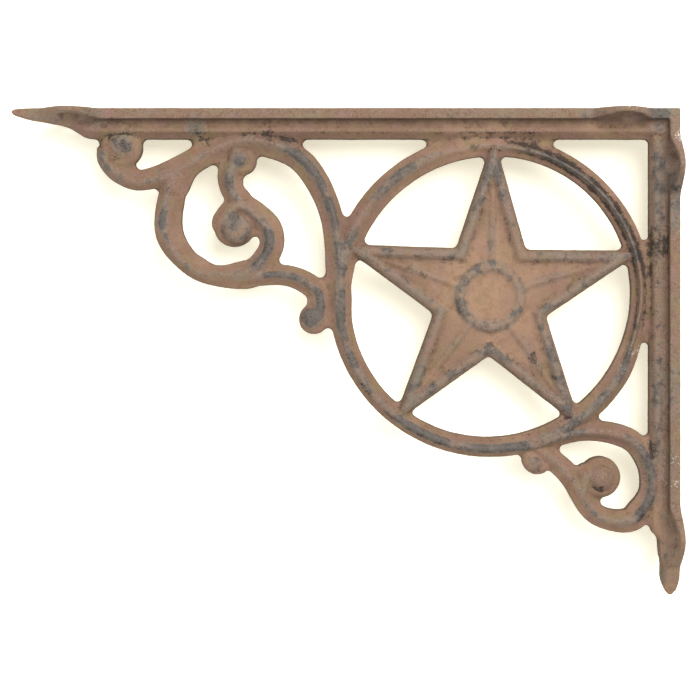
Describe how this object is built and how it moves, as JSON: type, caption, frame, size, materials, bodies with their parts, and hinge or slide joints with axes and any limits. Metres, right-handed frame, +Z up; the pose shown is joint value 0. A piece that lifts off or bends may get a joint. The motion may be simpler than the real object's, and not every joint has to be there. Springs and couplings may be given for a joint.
{
  "type": "shelf bracket",
  "caption": "Ornate cast iron shelf bracket with a star in a ring, C-scrolls and screw ears, which fixes to a wall and carries a shelf",
  "frame": {"origin": "on the wall face of the wall flange, in the middle plane of the web, half-way up the flange", "axes": "+X towards the wall, square to the wall face; +Z up, square to the shelf face; the decorated front faces -Y"},
  "size_m": [0.235, 0.032, 0.1714],
  "materials": {
    "bracket": "rust-brown cast surface, rubbed to grey on the raised edges, black dirt in the corners"
  },
  "bodies": {
    "root": {"bracket": "bracket"}
  },
  "joints": []
}
